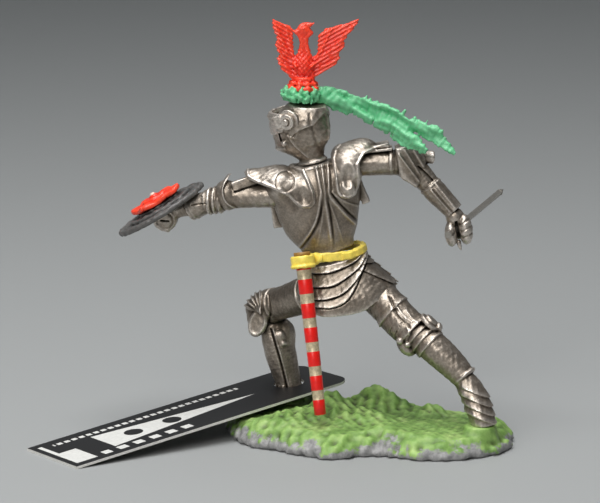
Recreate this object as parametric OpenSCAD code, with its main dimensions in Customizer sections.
// Lunging knight: a toy figure in swap-over parts.
// Frame: +X to the figure's rear foot, +Y away from its back, +Z up, origin on the base's underside.
// Every place above the base follows base_t, waist_h, torso_h and head_h.

/* [Base] */
// Length of the ground piece along X
base_l = 43; // [34:1:54]
// Width of the ground piece along Y
base_w = 34; // [28:1:42]
// Thickness of the flat ground under the feet
base_t = 3.2; // [2.4:0.1:4.2]

/* [Figure] */
// Height of the waist joint above the flat ground
waist_h = 25; // [20:0.5:31]
// Height of the torso from the waist joint to the top of the collar
torso_h = 14.4; // [12:0.2:17.6]
// Height of the helmet above the collar
head_h = 10; // [8.2:0.2:12.2]
// Lean of the torso towards the front foot, in degrees
lean = 14; // [8:1:18]
// Turn of the head from the torso's side plane, in degrees
head_turn = 28; // [10:1:40]
// Girth factor of both arms
arm_girth = 1; // [0.85:0.05:1.2]

/* [Carried pieces] */
// Diameter of the buckler
buckler_d = 15; // [12:0.5:18]
// Diameter of the rosette on the buckler
rosette_d = 8.6; // [7:0.2:10.4]
// Diameter of the scabbard in its loop
scabbard_d = 2.2; // [1.8:0.1:2.7]
// Gap from the scabbard's tip to the ground when the hips are upright
scabbard_gap = 2.6; // [2.2:0.1:3.6]
// Length of the sword's blade
blade_l = 19; // [15:0.5:23]
// Diameter of the sword's grip
grip_d = 1.1; // [0.9:0.05:1.35]
// Length of the card tag
tag_l = 51; // [48:1:60]
// Width of the card tag
tag_w = 14; // [11.5:0.5:17]
// Thickness of the card tag
tag_t = 0.4; // [0.3:0.05:0.5]
// Diameter of the hole in the card tag
tag_hole_d = 4.8; // [4.5:0.1:5.8]

/* [Studs] */
// Diameter of the waist stud
waist_stud_d = 3.4; // [2.8:0.1:4.1]
// Length of the waist stud inside the torso
waist_stud_l = 3.2; // [2.6:0.1:3.9]
// Diameter of the neck stud
neck_stud_d = 2.2; // [1.8:0.1:2.7]
// Diameter of the shoulder studs
shoulder_stud_d = 2; // [1.6:0.1:2.4]
// Diameter of the crest stud
crest_stud_d = 1.4; // [1.1:0.1:1.7]
// Diameter of the buckler's grip stem
stem_d = 1.2; // [1:0.05:1.45]
// Radial clearance of every stud, stem and pin in its bore
fit = 0.05; // [0.03:0.01:0.08]
// Gap between faces of pieces that turn on each other
part_gap = 0.12; // [0.08:0.01:0.2]

/* [Hidden] */
$fn = 48;

// ---- lofted bodies -------------------------------------------------------------------------

function unit(v) = v / norm(v);
function xyz(p) = [p[0], p[1], p[2]];

// Catmull-Rom value at t between stations i and i + 1
function spline(p, i, t) =
    let (n = len(p) - 1, a = p[max(i - 1, 0)], b = p[i], c = p[i + 1], d = p[min(i + 2, n)])
    0.5 * (2 * b + (c - a) * t + (2 * a - 5 * b + 4 * c - d) * t * t
           + (3 * b - a - 3 * c + d) * t * t * t);

function smooth(p, steps) =
    [for (i = [0 : len(p) - 2], k = [0 : steps - 1]) spline(p, i, k / steps), p[len(p) - 1]];

// One ring of an ellipse with half-widths p[3] along side and p[4] across it
function ring(p, t, side, sides) =
    let (a = unit(side - (side * t) * t), b = cross(t, a))
    [for (k = [0 : sides - 1])
        let (w = 360 * k / sides) xyz(p) + p[3] * cos(w) * a + p[4] * sin(w) * b];

// Solid through stations [x, y, z, half-width, half-depth]
module loft(stations, side = [1, 0, 0], sides = 16, steps = 3) {
    path = smooth(stations, steps);
    n = len(path);
    points = [for (i = [0 : n - 1])
        each ring(path[i], unit(xyz(path[min(i + 1, n - 1)]) - xyz(path[max(i - 1, 0)])), side, sides)];
    walls = [for (i = [0 : n - 2], k = [0 : sides - 1])
        let (a = i * sides + k, b = i * sides + (k + 1) % sides)
        each [[a, a + sides, b + sides], [a, b + sides, b]]];
    low = [for (k = [0 : sides - 1]) k];
    high = [for (k = [sides - 1 : -1 : 0]) (n - 1) * sides + k];
    polyhedron(points, concat([low, high], walls), convexity = 6);
}

// ---- frames of the posed figure ------------------------------------------------------------

stance_k = waist_h / 25;
torso_k = torso_h / 14.4;
head_k = head_h / 10;
waist = [-6.3, 2, base_t + waist_h];

// From the waist joint, leaning with the torso
module at_waist() { translate(waist) rotate([0, -lean, 0]) children(); }

// From the collar, facing -X in its own frame
neck = [0.4, 0, torso_h];
module at_head() { at_waist() translate(neck) rotate([0, 0, -head_turn]) children(); }

// From the top of the helmet, along the crest stud
plume_lean = 18;
plume = [0.9, 0, head_h - 0.7];
module to_plume() { translate(plume) rotate([0, 0, head_turn]) rotate([0, plume_lean, 0]) children(); }
module at_plume() { at_head() to_plume() children(); }

// A standing place: a point given above the ground for a stance of 25
function stand(p) = [p[0], p[1], base_t + p[2] * stance_k, p[3], p[4]];
function stands(list) = [for (p = list) stand(p)];

// ---- ground --------------------------------------------------------------------------------

left_foot = [-14.2, 13.1];
right_foot = [15.9, -9];
left_pad = 0.2;
right_pad = 1;
foot_stud_d = 1.2;
foot_stud_l = 1.6;

// Outline of the ground piece, as shares of its length and width
base_outline = [[0.5, 0.02], [0.46, -0.28], [0.3, -0.43], [0.15, -0.44], [0.04, -0.37], [-0.06, -0.38],
                [-0.15, -0.43], [-0.25, -0.36], [-0.36, -0.25], [-0.45, -0.17], [-0.51, 0], [-0.52, 0.28],
                [-0.47, 0.48], [-0.35, 0.56], [-0.16, 0.52], [-0.05, 0.46], [0.08, 0.34], [0.22, 0.2],
                [0.4, 0.12]];

// Hummocks: x, y, height, spread
hummocks = [[-6.2, 2.5, 2.6, 2.4], [0.4, 7.5, 2.8, 2.7], [3.4, 4.5, 1.6, 2.4], [9.2, 1.5, 1.4, 1.8],
            [3, -7, 0.6, 4], [16, -2, 0.5, 4], [-16, 2, -0.3, 4]];

function ground(x, y) = base_t
    + [for (h = hummocks) h[2] * exp(-(pow(x - h[0], 2) + pow(y - h[1], 2)) / (2 * h[3] * h[3]))]
    * [for (h = hummocks) 1];

module base() color([0.45, 0.55, 0.25]) {
    edge = smooth(concat(base_outline, [base_outline[0]]), 3);
    m = len(edge) - 1;
    shares = [0.14, 0.28, 0.42, 0.56, 0.7, 0.82, 0.91];
    rings = len(shares);
    spot = function (s, k) [edge[k][0] * base_l * s, edge[k][1] * base_w * s];
    top = [for (i = [0 : rings - 1], k = [0 : m - 1])
        let (p = spot(shares[i], k)) [p[0], p[1], ground(p[0], p[1])]];
    rim = [for (k = [0 : m - 1]) let (p = spot(0.985, k)) [p[0], p[1], base_t * 0.55]];
    foot = [for (k = [0 : m - 1]) let (p = spot(1, k)) [p[0], p[1], 0]];
    points = concat(top, rim, foot, [[0, 0, ground(0, 0)]]);
    walls = [for (i = [0 : rings], k = [0 : m - 1])
        let (a = i * m + k, b = i * m + (k + 1) % m)
        each [[a, b + m, b], [a, a + m, b + m]]];
    cap = [for (k = [0 : m - 1]) [(rings + 2) * m, k, (k + 1) % m]];
    under = [for (k = [m - 1 : -1 : 0]) (rings + 1) * m + k];
    difference() {
        union() {
            polyhedron(points, concat(walls, cap, [under]), convexity = 8);
            translate(left_foot) cylinder(d = 6.4, h = base_t + left_pad);
            translate(right_foot) cylinder(d = 5.6, h = base_t + right_pad);
        }
        for (p = [[left_foot, left_pad], [right_foot, right_pad]])
            translate([p[0][0], p[0][1], base_t + p[1] - foot_stud_l - fit])
                cylinder(d = foot_stud_d + 2 * fit, h = foot_stud_l + 2);
    }
}

// ---- legs ----------------------------------------------------------------------------------

ankle = stand([-12.9, 12, 2.9, 1.7, 1.7]);
belt_h = 1.5;
belt_r = 5;
seat_z = -belt_h / 2 - part_gap;

module left_leg() {
    loft(stands([[-7.2, 3.2, 20, 3.2, 3.2], [-9.6, 5.6, 18.7, 3.2, 3.2], [-13.4, 9.6, 16.6, 2.8, 2.8],
                 [-16.6, 12.9, 14.8, 2.5, 2.5], [-17.9, 14.1, 13.9, 1.6, 1.6]]));
    loft(stands([[-17.2, 13.6, 15.8, 1.6, 1.6], [-17.4, 13.7, 14.2, 2.5, 2.5], [-16, 13.1, 10.4, 2.4, 2.4],
                 [-14.2, 12.4, 6, 2, 2], [-13, 12.05, 3.2, 1.65, 1.65], [-12.8, 12, 0.9, 1.7, 1.7]]));
    translate([0, 0, base_t + left_pad]) intersection() {
        loft([[-10.9, 10.9, 0.5, 1, 0.9], [-12, 11.7, 0.6, 1.6, 1.3], [-14.6, 13.4, 0.3, 1.9, 1.3],
              [-16.6, 14.8, 0.1, 1.5, 1.1], [-17.6, 15.5, 0, 0.6, 0.6]], side = [0.6, 0.8, 0]);
        translate([-20, 5, 0]) cube([12, 15, 4]);
    }
}

module right_leg() {
    loft(stands([[-1.4, 1, 20.6, 3.2, 3.2], [0.8, -0.4, 19.6, 3.1, 3.1], [3.4, -2.5, 17, 2.7, 2.7],
                 [5.8, -4, 14.6, 2.3, 2.3], [6.8, -4.4, 13.8, 1.6, 1.6]]));
    loft(stands([[5.2, -3.7, 15.4, 1.6, 1.6], [6.2, -4.1, 14.4, 2.3, 2.3], [9.6, -5.5, 11.8, 2.1, 2.1],
                 [12, -6.5, 9.7, 1.9, 1.9], [13.6, -7.1, 8.2, 1.7, 1.7], [14.4, -7.5, 6.6, 1.6, 1.6]]));
    intersection() {
        loft([stand([13.3, -7, 8.6, 1.5, 1.4]), stand([14.4, -7.6, 6, 2, 1.9]),
              [15.6, -8.5, base_t + right_pad + 1.2, 2, 1.8], [16.2, -9, base_t + right_pad - 0.6, 1.7, 1.6]]);
        translate([8, -15, base_t + right_pad]) cube([14, 14, 20]);
    }
}

module legs() color([0.5, 0.49, 0.47]) {
    difference() {
        union() {
            left_leg();
            right_leg();
            at_waist() loft([[0, 0, -1, 4.3, 3.5], [0.1, 0, -2.4, 4.9, 4], [0.4, 0, -4.4, 6.2, 4.6],
                [0.4, 0, -7, 7.6, 5], [-0.6, 0.2, -9.6, 7.2, 5], [-1.4, 0.4, -10.8, 5.6, 4.2]]);
        }
        at_waist() translate([-10, -10, seat_z]) cube([20, 20, 6]);
    }
    at_waist() translate([0, 0, seat_z - 1.5])
        cylinder(d = waist_stud_d, h = waist_stud_l + belt_h / 2 + part_gap - seat_z + 1.5 - 0.2);
    for (p = [[left_foot, left_pad], [right_foot, right_pad]])
        translate([p[0][0], p[0][1], base_t + p[1] - foot_stud_l])
            cylinder(d = foot_stud_d, h = foot_stud_l + 0.4);
}

// ---- belt and scabbard ---------------------------------------------------------------------

frog = [-4.3, -6.6, 1.1];
loop_r = scabbard_d / 2 + fit;
loop_wall = 0.65;
loop_h = 2.2;
scabbard_out = 9.6;
scabbard_back = 6.5;
scabbard_len = (waist_h + frog[2] - scabbard_gap) / (cos(scabbard_out) * cos(scabbard_back));
tip_d = 1.7;

// From the frog loop, with +Z up the scabbard
module at_scabbard() {
    at_waist() translate(frog) rotate([0, lean, 0])
        rotate([-scabbard_out, 0, 0]) rotate([0, -scabbard_back, 0]) children();
}

module belt() color([0.87, 0.7, 0.12]) {
    difference() {
        union() {
            at_waist() rotate_extrude() translate([0, -belt_h / 2])
                polygon([[waist_stud_d / 2 + fit, 0], [belt_r - 0.3, 0], [belt_r, 0.35],
                         [belt_r, belt_h - 0.35], [belt_r - 0.3, belt_h], [waist_stud_d / 2 + fit, belt_h]]);
            at_waist() rotate([0, 0, atan2(frog[1], frog[0])])
                translate([belt_r - 1, -0.9, -0.5]) cube([norm([frog[0], frog[1]]) - belt_r - 0.2, 1.8, 1.2]);
            at_scabbard() translate([0, 0, -loop_h / 2]) cylinder(r = loop_r + loop_wall, h = loop_h);
        }
        at_scabbard() translate([0, 0, -loop_h]) cylinder(r = loop_r, h = 2 * loop_h);
    }
}

module scabbard() color([0.75, 0.1, 0.08]) at_scabbard() difference() {
    union() {
        translate([0, 0, -loop_h / 2]) cylinder(d = scabbard_d, h = loop_h + part_gap + 0.4);
        translate([0, 0, loop_h / 2 + part_gap]) cylinder(d = scabbard_d + 0.5, h = 0.6);
        translate([0, 0, -scabbard_len + 0.4])
            cylinder(d1 = tip_d, d2 = scabbard_d, h = scabbard_len - loop_h / 2 - 0.4);
        translate([0, 0, -scabbard_len]) cylinder(d1 = tip_d - 0.5, d2 = tip_d, h = 0.4);
    }
    translate([0, 0, -3]) cylinder(d = scabbard_d - 0.9, h = 10);
}

// ---- torso ---------------------------------------------------------------------------------

torso_z = belt_h / 2 + part_gap;
shoulder_z = torso_h - 2;
left_seat = -5.6;
right_seat = 6.2;
shoulder_stud_l = 2.2;
neck_stud_l = 2.6;

module torso() color([0.52, 0.51, 0.49]) at_waist() difference() {
    union() {
        loft([for (p = [[-0.5, 0, 0.4, 4, 3.2], [-0.6, 0, 1.6, 4.2, 3.3], [-0.8, 0, 3.4, 5.3, 3.7],
                        [-0.6, 0, 6, 6, 4], [-0.3, 0, 9, 6.3, 4.1], [0, 0, 11.6, 6.2, 3.8],
                        [0.3, 0, 13.2, 4.4, 3], [0.4, 0, 14.1, 2.7, 2.4], [0.4, 0, 14.9, 2.3, 2.2]])
              [p[0], p[1], p[2] * torso_k, p[3], p[4]]], sides = 20);
        translate([left_seat, -0.3, shoulder_z]) rotate([0, 90, 0]) cylinder(r = 2.4, h = 3);
        translate([right_seat - 3, 0, shoulder_z]) rotate([0, 90, 0]) cylinder(r = 2.4, h = 3);
    }
    translate([-10, -10, -5]) cube([20, 20, 5 + torso_z]);
    translate([-5, -5, torso_h - 0.1]) cube([10, 10, 5]);
    translate([left_seat - 10, -10, -1]) cube([10, 20, 30]);
    translate([right_seat, -10, -1]) cube([10, 20, 30]);
    translate([0, 0, -1]) cylinder(d = waist_stud_d + 2 * fit, h = torso_z + 1 + waist_stud_l + fit);
    translate([neck[0], neck[1], torso_h - neck_stud_l - fit]) cylinder(d = neck_stud_d + 2 * fit, h = 9);
    translate([left_seat - 1, -0.3, shoulder_z]) rotate([0, 90, 0])
        cylinder(d = shoulder_stud_d + 2 * fit, h = 1 + shoulder_stud_l + fit);
    translate([right_seat - shoulder_stud_l - fit, 0, shoulder_z]) rotate([0, 90, 0])
        cylinder(d = shoulder_stud_d + 2 * fit, h = 1 + shoulder_stud_l + fit);
}

// ---- arms ----------------------------------------------------------------------------------

function limb(list) = [for (p = list) [p[0], p[1], shoulder_z + p[2], p[3] * arm_girth, p[4] * arm_girth]];

// Left fist: round the buckler's stem, which runs along the buckler's normal
fist_h = 2.6;
left_grip = [-23.3, 4.5, shoulder_z - 1.7];
buckler_lean = -17;
module at_buckler() { at_waist() translate(left_grip) rotate([0, buckler_lean, 0]) children(); }

module left_arm() color([0.5, 0.49, 0.47]) {
    difference() {
        union() {
            at_waist() {
                loft(limb([[left_seat, -0.3, 0.2, 2.9, 2.9], [-7.2, -0.3, 0.2, 3.2, 3.2],
                           [-9.4, 0, 0, 2.7, 2.7], [-11, 0.4, -0.1, 2, 2]]), side = [0, 1, 0]);
                loft(limb([[-8, -0.1, 0, 1.9, 1.9], [-11.6, 0.5, -0.1, 1.9, 1.9],
                           [-14.2, 1, -0.1, 2.4, 2.3], [-16.4, 1.7, -0.2, 1.9, 1.9],
                           [-19, 2.5, -0.5, 2, 1.8], [-21, 3.4, -1.1, 1.6, 1.4],
                           [-22.9, 4.3, -1.7, 1.5, 1.2]]), side = [0, 1, 0]);
            }
            at_buckler() translate([0, 0, -fist_h / 2]) cylinder(r = 1.75 * arm_girth, h = fist_h);
        }
        at_buckler() translate([0, 0, -5]) cylinder(d = stem_d + 2 * fit, h = 10);
        at_buckler() translate([0, 0, fist_h / 2]) cylinder(d = buckler_d + 1, h = 5);
        at_waist() translate([left_seat, -10, 0]) cube([10, 20, 30]);
    }
    at_waist() translate([left_seat - 0.4, -0.3, shoulder_z]) rotate([0, 90, 0])
        cylinder(d = shoulder_stud_d, h = shoulder_stud_l + 0.4);
}

// Right fist: round the sword's grip, which points away from the figure's back
right_grip = [19, -2, shoulder_z - 12.8];
sword_yaw = 64;
sword_pitch = 3;
module at_sword() {
    at_waist() translate(right_grip) rotate([0, -sword_pitch, sword_yaw]) rotate([0, 90, 0]) children();
}

module right_arm() color([0.5, 0.49, 0.47]) {
    difference() {
        union() {
            at_waist() {
                loft(limb([[right_seat, 0, 0.2, 3, 3.1], [7.8, 0, 0.6, 3.2, 3.2],
                           [10, -0.2, 0.4, 2.8, 2.6], [11.8, -0.4, 0, 2, 2]]), side = [0, 1, 0]);
                loft(limb([[8.6, 0, 0.1, 2, 2], [12, -0.4, -0.2, 2.1, 2.1], [14.8, -0.8, -0.8, 2.2, 2.2],
                           [17, -1, -2.2, 2.3, 2.4], [18.4, -1.4, -4.6, 2.1, 2.2],
                           [19.6, -1.8, -7.4, 2.1, 2.1], [20.1, -2, -9.6, 1.8, 1.8],
                           [19.6, -2, -11.6, 1.6, 1.6]]), side = [0, 1, 0]);
            }
            at_sword() translate([0, 0, -fist_h / 2]) cylinder(r = 2.1 * arm_girth, h = fist_h);
        }
        at_sword() translate([0, 0, -5]) cylinder(d = grip_d + 2 * fit, h = 10);
        at_sword() translate([-5, -5, fist_h / 2]) cube([10, 10, 5]);
        at_waist() translate([right_seat - 10, -10, 0]) cube([10, 20, 30]);
    }
    at_waist() translate([right_seat - shoulder_stud_l, 0, shoulder_z]) rotate([0, 90, 0])
        cylinder(d = shoulder_stud_d, h = shoulder_stud_l + 0.4);
}

// ---- helmet, face, visor -------------------------------------------------------------------

pivot = [-0.2, 0, 7.4 * head_k];
pivot_r = 0.5;
visor_wall = 0.55;
face_r = 2;
face_z = 6.3 * head_k;

// Half-sizes of the helmet grown outwards by g
helm = [for (p = [[0.2, 0, -0.6, 2.2, 2], [0.2, 0, 0.8, 2.2, 2], [-0.2, 0, 2, 3.1, 2.5],
                  [-0.3, 0, 3.8, 4, 3.2], [-0.2, 0, 5.8, 4.3, 3.6], [0, 0, 7.6, 4.2, 3.5],
                  [0.4, 0, 9, 3.1, 2.7], [0.6, 0, 9.8, 1.6, 1.4]])
        [p[0], p[1], p[2] * head_k, p[3], p[4]]];

module helmet() color([0.5, 0.49, 0.47]) at_head() {
    difference() {
        union() {
            loft(helm, sides = 20);
            translate(pivot) rotate([90, 0, 0]) cylinder(r = 1.1, h = 6.4, center = true);
        }
        translate([-6, 0, face_z]) rotate([0, 90, 0]) cylinder(r = face_r, h = 5.4);
        translate([-5, -5, -5]) cube([10, 10, 5 + part_gap]);
        to_plume() translate([0, 0, -3]) cylinder(d = crest_stud_d + 2 * fit, h = 9);
        to_plume() translate([-5, -5, 0]) cube([10, 10, 5]);
    }
    translate([0, 0, -neck_stud_l + 0.1]) cylinder(d = neck_stud_d, h = neck_stud_l + 0.6);
    translate(pivot) rotate([90, 0, 0])
        difference() {
            cylinder(r = pivot_r, h = 9.6, center = true);
            cylinder(r = pivot_r + 1, h = 6, center = true);
        }
}

module face() color([0.85, 0.62, 0.5]) at_head() {
    difference() {
        translate([-2.6, 0, face_z]) rotate([0, 90, 0]) cylinder(r = face_r - fit, h = 2 - fit);
        translate([-4, -5, face_z + 1.6]) cube([3, 10, 3]);
    }
    intersection() {
        loft([[-2.55, 0, face_z - 1.9, 0.5, 1.1], [-2.7, 0, face_z - 1.1, 0.8, 1.4],
              [-2.7, 0, face_z, 0.8, 1.5], [-2.6, 0, face_z + 1.2, 0.7, 1.3]]);
        translate([-6, 0, face_z]) rotate([0, 90, 0]) cylinder(r = face_r - fit, h = 6);
    }
}

// Visor plate: a curved sheet round the front, from heights z0 to z1, with an ear on each pivot
visor_low = 5;
visor_high = 8.7;
visor_rows = 6;
visor_cols = 16;
visor_sweep = 78;
ear_r = 1.2;
ear_y = 3.6 + part_gap;

// Front profile of the plate: how far it stands ahead of the helmet's middle and beside it
function plate(v, w, g) =
    let (z = visor_low + (visor_high - visor_low) * v, ahead = 4.55 + 0.5 * sin(150 * v) - 0.9 * v)
    [-0.2 - (ahead + g) * cos(w), (3.62 + g) * sin(w), z * head_k];

module visor_plate() {
    n = visor_cols + 1;
    count = n * (visor_rows + 1);
    angle = function (k) -visor_sweep + 2 * visor_sweep * k / visor_cols;
    points = [for (g = [part_gap, part_gap + visor_wall], i = [0 : visor_rows], k = [0 : visor_cols])
        plate(i / visor_rows, angle(k), g)];
    cells = [for (i = [0 : visor_rows - 1], k = [0 : visor_cols - 1]) i * n + k];
    inner = [for (a = cells) each [[a, a + n + 1, a + 1], [a, a + n, a + n + 1]]];
    outer = [for (a = cells) let (b = a + count) each [[b, b + 1, b + n + 1], [b, b + n + 1, b + n]]];
    ends = [for (i = [0 : visor_rows - 1], k = [0, visor_cols])
        let (a = i * n + k, b = a + count)
        each k == 0 ? [[a, b, b + n], [a, b + n, a + n]] : [[a, b + n, b], [a, a + n, b + n]]];
    rims = [for (k = [0 : visor_cols - 1], i = [0, visor_rows])
        let (a = i * n + k, b = a + count)
        each i == 0 ? [[a, b + 1, b], [a, a + 1, b + 1]] : [[a, b, b + 1], [a, b + 1, a + 1]]];
    polyhedron(points, concat(inner, outer, ends, rims), convexity = 6);
}

module visor() color([0.5, 0.49, 0.47]) at_head() difference() {
    union() {
        visor_plate();
        for (turn = [90, -90])
            translate(pivot) rotate([turn, 0, 0]) translate([0, 0, ear_y])
                cylinder(r = ear_r, h = visor_wall);
    }
    translate(pivot) rotate([90, 0, 0]) cylinder(r = pivot_r + fit, h = 12, center = true);
    translate([-8, -2.2, 6.9 * head_k]) cube([5, 4.4, 0.5]);
}

// ---- mantling and crest --------------------------------------------------------------------

mantling_t = 1.6;
mantling_r = 3.1;
tail = [[1.4, -0.1, 0.8, 0.5, 0.6], [3, -0.2, 0.9, 1, 1], [5, -0.5, 0.5, 1.3, 0.8],
        [7.4, -0.9, -0.2, 1.5, 0.6], [10.4, -1.6, -0.7, 1.7, 0.6], [13.6, -2.8, -1.6, 1.9, 0.6],
        [16.6, -4.4, -2.8, 2.2, 0.6], [19.4, -5.6, -4.1, 1.9, 0.6], [22.4, -5.8, -5.3, 0.5, 0.3]];

module mantling() color([0.12, 0.6, 0.4]) at_plume() difference() {
    union() {
        rotate_extrude() polygon([[crest_stud_d / 2 + fit, part_gap], [mantling_r - 0.3, part_gap],
            [mantling_r, 0.5], [mantling_r - 0.2, 1.1], [mantling_r - 0.8, mantling_t],
            [crest_stud_d / 2 + fit, mantling_t]]);
        loft(tail, side = [0, 0, 1]);
    }
    translate([-4, -4, mantling_t]) cube([6.6, 8, 4]);
}

// One wing, from its root to its tip, with scallops down its outer edge
wing = [[0.3, 0.4], [1.9, 0.9], [3.4, 2], [3.6, 3], [4.8, 4], [4.5, 4.9], [5.3, 6.2], [5, 7],
        [6.4, 8.6], [6.8, 9.6], [4.6, 9.4], [3, 8.4], [2.1, 6.6], [1.9, 4.6], [0.3, 3.2]];
crest_t = 1.1;

module crest() color([0.85, 0.08, 0.06]) at_plume() {
    translate([0, 0, -2.6]) cylinder(d = crest_stud_d, h = 2.6 + mantling_t + 0.4);
    translate([0, 0, mantling_t + part_gap]) cylinder(r1 = 2.3, r2 = 1.6, h = 0.9);
    translate([0, crest_t / 2, mantling_t + part_gap + 0.7]) rotate([90, 0, 0]) linear_extrude(crest_t) {
        polygon(wing);
        mirror([1, 0]) polygon(wing);
        polygon([[-1.3, 0], [1.3, 0], [1.2, 3], [0.8, 5], [0.6, 6.6], [0.9, 7.4], [1.6, 7.8], [0.9, 8.2],
                 [0.3, 8.8], [-0.4, 8.7], [-0.9, 8], [-0.6, 6.4], [-1.2, 4.6]]);
    }
}

// ---- sword, buckler, rosette ---------------------------------------------------------------

guard_t = 0.6;

module sword() color([0.72, 0.72, 0.74]) at_sword() {
    translate([0, 0, -fist_h / 2 - 1.4]) cylinder(d = grip_d, h = fist_h + 1.4 + part_gap + 0.2);
    translate([-2, -0.45, fist_h / 2 + part_gap]) cube([4, 0.9, guard_t]);
    translate([0, 0, fist_h / 2 + part_gap + guard_t / 2]) rotate([0, 0, 45])
        linear_extrude(blade_l - 1.6) square([0.75, 0.75], center = true);
    translate([0, 0, fist_h / 2 + part_gap + guard_t / 2 + blade_l - 1.6])
        cylinder(r1 = 0.5, r2 = 0.05, h = 1.6);
}

buckler_t = 0.7;
boss_r = 3.4;
boss_h = 1.5;
pin_d = 1;

module buckler() color([0.33, 0.33, 0.33]) at_buckler() difference() {
    union() {
        translate([0, 0, -fist_h / 2 - 0.3]) cylinder(d = stem_d, h = fist_h + 0.3 + part_gap + 0.2);
        translate([0, 0, fist_h / 2 + part_gap]) rotate_extrude($fn = 64)
            polygon([[0, 0], [buckler_d / 2 - 0.3, 0], [buckler_d / 2, 0.3], [buckler_d / 2, buckler_t],
                     [boss_r + 1.4, buckler_t + 0.2], [boss_r + 0.4, boss_h], [0, boss_h]]);
    }
    translate([0, 0, fist_h / 2 + part_gap + 0.3]) cylinder(d = pin_d + 2 * fit, h = 5);
}

module rosette() color([0.85, 0.08, 0.06]) at_buckler() translate([0, 0, fist_h / 2 + part_gap + boss_h]) {
    translate([0, 0, -0.9]) cylinder(d = pin_d, h = 1.3 + part_gap);
    translate([0, 0, part_gap]) rotate_extrude($fn = 64)
        polygon([[0, 0], [rosette_d / 2 - 0.3, 0], [rosette_d / 2, 0.4], [rosette_d / 2 - 0.4, 0.8],
                 [1.2, 0.9], [0.9, 1.4], [0, 1.5]]);
}

// ---- tag -----------------------------------------------------------------------------------

tag_yaw = 36.3;
tag_back = 44;
hole_z = ankle[2] - 0.3;
tag_pitch = asin((hole_z - tag_t / 2) / tag_back);

module tag() color([0.1, 0.1, 0.1]) translate([ankle[0], ankle[1], hole_z])
    rotate([0, 0, tag_yaw]) rotate([0, -tag_pitch, 0]) difference() {
        translate([-tag_back, -tag_w / 2, -tag_t / 2]) union() {
            cube([tag_l - 2.5, tag_w, tag_t]);
            translate([tag_l - 2.5, 2.5, 0]) cylinder(r = 2.5, h = tag_t);
            translate([tag_l - 2.5, tag_w - 2.5, 0]) cylinder(r = 2.5, h = tag_t);
            translate([0, 2.5, 0]) cube([tag_l, tag_w - 5, tag_t]);
        }
        translate([0, 0, -2]) cylinder(d = tag_hole_d, h = 4);
    }

base();
legs();
torso();
left_arm();
right_arm();
belt();
scabbard();
helmet();
face();
visor();
mantling();
crest();
sword();
buckler();
rosette();
tag();
